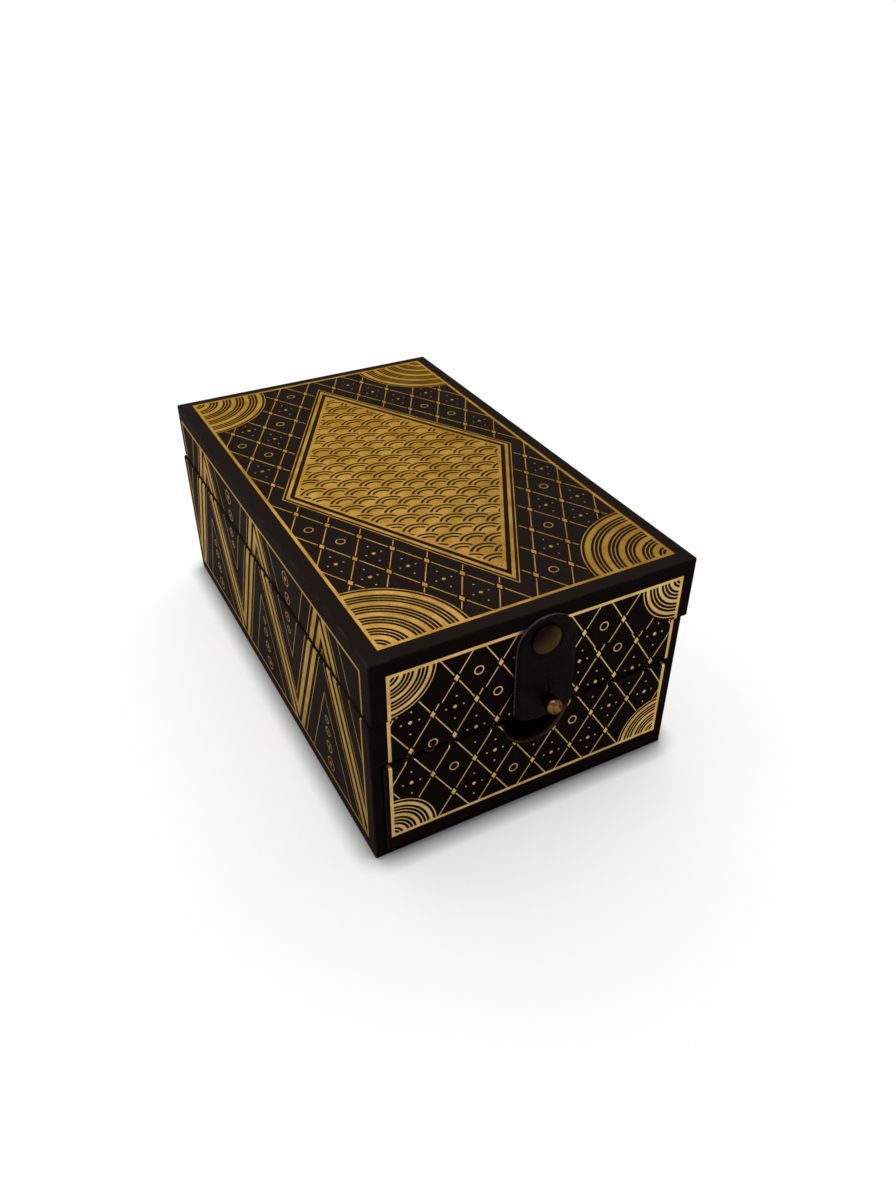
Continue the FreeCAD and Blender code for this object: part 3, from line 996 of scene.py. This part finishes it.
def top_design():
    """Top of the lid: a scallop medallion on a lattice, with barred corners."""
    design = Design()
    x0, x1, y0, y1 = -50.7, 53.95, -90.9, 91.85
    cx, cy = (x0 + x1) / 2, (y0 + y1) / 2
    inner = design.region(rectangle(x0 + 0.3, x1 - 0.3, y0 + 0.3, y1 - 0.3))
    half_x, half_y = 42.0, 74.0
    slope = half_y / half_x
    corner = 30.0

    def bare(x, y):
        from_middle = abs(x - cx) / half_x + abs(y - cy) / half_y
        from_corner = math.hypot((x1 - x0) / 2 - abs(x - cx), (y1 - y0) / 2 - abs(y - cy))
        return from_middle < 1.22 or from_corner < corner + 3

    lattice(design, inner, x0, x1, y0, y1, (x1 - x0) / 8, slope, bare)
    corner_arcs(design, inner, x0, x1, y0, y1, arcs(
        corner, 0.9, FINE, 2.0, FINE, FINE, 2.0, FINE, FINE, 2.0, FINE, FINE, 2.0, FINE, FINE, 2.0, FINE, 2.5))
    grown = [half + 5.4 * share for half, share in ((half_x, 1), (half_y, slope))]
    design.lozenge((cx, cy), *grown, ink=False)
    design.lozenge_line((cx, cy), half_x + 4.6, half_y + 4.6 * slope, FINE)
    design.lozenge_line((cx, cy), half_x + 3.2, half_y + 3.2 * slope, 1.2)
    medallion = design.region(lozenge_points((cx, cy), half_x - 0.5, half_y - 0.5 * slope))
    scales(design, medallion, (cx, cy), half_x, half_y, 7.0)
    design.lozenge_line((cx, cy), half_x, half_y, 1.2)
    design.border(x0, x1, y0, y1)
    return design


def front_design(x0, x1, z0=9.2, z1=74.55):
    """Front: a fine lattice with barred corners."""
    design = Design()
    inner = design.region(rectangle(x0 + 0.3, x1 - 0.3, z0 + 0.3, z1 - 0.3))
    corner = 16.0

    def bare(x, z):
        return math.hypot(min(x - x0, x1 - x), min(z - z0, z1 - z)) < corner + 2

    lattice(design, inner, x0, x1, z0, z1, (x1 - x0) / 7, 1.55, bare)
    corner_arcs(design, inner, x0, x1, z0, z1, arcs(corner, 0.9, FINE, 1.2, FINE, FINE, 1.2, FINE, FINE, 1.2, FINE, 1.6))
    design.border(x0, x1, z0, z1)
    return design


def zigzag(design, clip, u0, u1, z0, z1, folds, middle, width):
    """Bar of an upright thickness that folds between the bottom and the top of a panel."""
    levels = (z0, z1)
    run = (u1 - u0) / folds
    spine = [(u0 + i * run, levels[i % 2] + middle) for i in range(folds + 1)]
    for a, b in zip(spine, spine[1:]):
        half = width / 2
        design.fill([(a[0], a[1] - half), (b[0], b[1] - half), (b[0], b[1] + half), (a[0], a[1] + half)], True, clip)


def side_design(u0, u1, z0=5.2, z1=74.6):
    """Side: folded bands of bars between fine lines, with rings and dots between the folds."""
    design = Design()
    inner = design.region(rectangle(u0 + 0.3, u1 - 0.3, z0 + 0.3, z1 - 0.3))
    folds = 6
    height = z1 - z0
    upright = math.hypot(1, height / ((u1 - u0) / folds))
    period = 2 * height
    for shift in (-period, 0, period):
        for step in (-1, 1):
            zigzag(design, inner, u0, u1, z0, z1, folds, shift + step * 2.3 * upright, 2.6 * upright)
        for offset in (5.6, 12.5):
            for side in (-1, 1):
                zigzag(design, inner, u0, u1, z0, z1, folds, shift + side * offset * upright, FINE * upright)
    run = (u1 - u0) / folds
    for i in range(1, folds):
        foot, sign = (z1, -1) if i % 2 == 0 else (z0, 1)
        u = u0 + i * run
        for level, radius in ((6.0, 1.7), (14.0, 1.2), (21.0, 0.8), (26.5, 0.5)):
            design.ring((u, foot + sign * level), radius + 0.9, FINE, clip=inner)
            design.disc((u, foot + sign * level), radius * 0.55, clip=inner)
    design.border(u0, u1, z0, z1, SIDE_LINE)
    return design


def print_box():
    """Put the print on every piece that carries it."""
    lid_low, lid_high = mm_box("lid_wrap")
    case_low, case_high = mm_box("case_wrap")
    band_low, band_high = mm_box("front_band_wrap")
    drawer_low, drawer_high = mm_box("drawer_wrap")
    r = EDGE_RADIUS
    # One gold foil in three tones: the top's is set darker and the sides' duller than the front's, as painted shade
    # for how those faces are lit.
    top_foil_painted_shade = gold_foil("gold_foil_top_painted_shade", (0.21, 0.112, 0.021), (0.30, 0.174, 0.042))
    gold = gold_foil("gold_foil", (0.49, 0.305, 0.092), (0.62, 0.425, 0.155))
    side_foil_painted_shade = gold_foil("gold_foil_sides_painted_shade", (0.28, 0.184, 0.070), (0.38, 0.260, 0.115))
    lid_levels = (lid_low.z + r, lid_high.z - r)
    case_levels = (case_low.z + r, case_high.z - r)
    top = Face((0, 0, lid_high.z), (1, 0, 0), (0, 0, 1), lid_low.y + r, lid_high.y - r)
    foil("lid_top_foil", top_design(), top, "lid", -55, 57, material=top_foil_painted_shade)
    lid_front = Face((0, lid_low.y, 0), (1, 0, 0), (0, -1, 0), *lid_levels)
    foil("lid_front_foil", front_design(-50.9, 54.25), lid_front, "lid", -55, 57, material=gold)
    band = Face((0, band_low.y, 0), (1, 0, 0), (0, -1, 0), band_low.z + r, band_high.z - r)
    foil("band_foil", front_design(-51.1, 53.7), band, "case", -55, 57, shift=(0, 0.2), material=gold)
    drawer = Face((0, drawer_low.y, 0), (1, 0, 0), (0, -1, 0), drawer_low.z + r, drawer_high.z - r, DRAWER_REACH)
    notch = arc_points(NOTCH[:2], NOTCH[2] + NOTCH_MARGIN, 0, 360)[:-1]
    foil("drawer_foil", front_design(-51.8, 51.75), drawer, "drawer", -55, 57, cuts=[notch], material=gold)
    left = side_design(-92.0, 90.4)
    lid_left = Face((lid_low.x, 0, 0), (0, -1, 0), (-1, 0, 0), *lid_levels)
    case_left = Face((case_low.x, 0, 0), (0, -1, 0), (-1, 0, 0), *case_levels)
    foil("lid_left_foil", left, lid_left, "lid", -94, 94, material=side_foil_painted_shade)
    foil("case_left_foil", left, case_left, "case", -94, 94, shift=(0.5, 0.1), material=side_foil_painted_shade)
    right = side_design(-90.4, 92.0)
    lid_right = Face((lid_high.x, 0, 0), (0, 1, 0), (1, 0, 0), *lid_levels)
    case_right = Face((case_high.x, 0, 0), (0, 1, 0), (1, 0, 0), *case_levels)
    foil("lid_right_foil", right, lid_right, "lid", -94, 94, material=side_foil_painted_shade)
    foil("case_right_foil", right, case_right, "case", -94, 94, shift=(-0.4, -0.1), material=side_foil_painted_shade)
    back = front_design(-54.2, 50.9)
    lid_back = Face((0, lid_high.y, 0), (-1, 0, 0), (0, 1, 0), *lid_levels)
    case_back = Face((0, case_high.y, 0), (-1, 0, 0), (0, 1, 0), *case_levels)
    foil("lid_back_foil", back, lid_back, "lid", -57, 55, material=side_foil_painted_shade)
    foil("case_back_foil", back, case_back, "case", -57, 55, shift=(0.3, 0), material=side_foil_painted_shade)


def paint(material, *names):
    """Give CAD nodes a material."""
    for name in names:
        mesh = nodes[name].data
        mesh.materials.clear()
        mesh.materials.append(material)


def paint_nodes():
    """Materials of the pieces that keep their CAD shape."""
    for name in ("lid_wrap", "case_wrap", "front_band_wrap", "drawer_wrap", "base_paper"):
        paint(black_paper(name), name)
    for name in ("lid_lining", "tray_lining", "bay_lining", "drawer_lining"):
        paint(lining_paper(name), name)
    board = greyboard()
    paint(board, *[name for name in nodes if name.endswith("_board")])
    paint(brass("plain_brass", (0.42, 0.27, 0.09), (0.60, 0.42, 0.18), 0.3, 0.6, 2.0), "rivet_post", "stud_screw")


make_camera()
make_floor()
make_light()
paint_nodes()
print_box()
make_strap()
make_hinge_cloth()
make_cap()
make_ball()
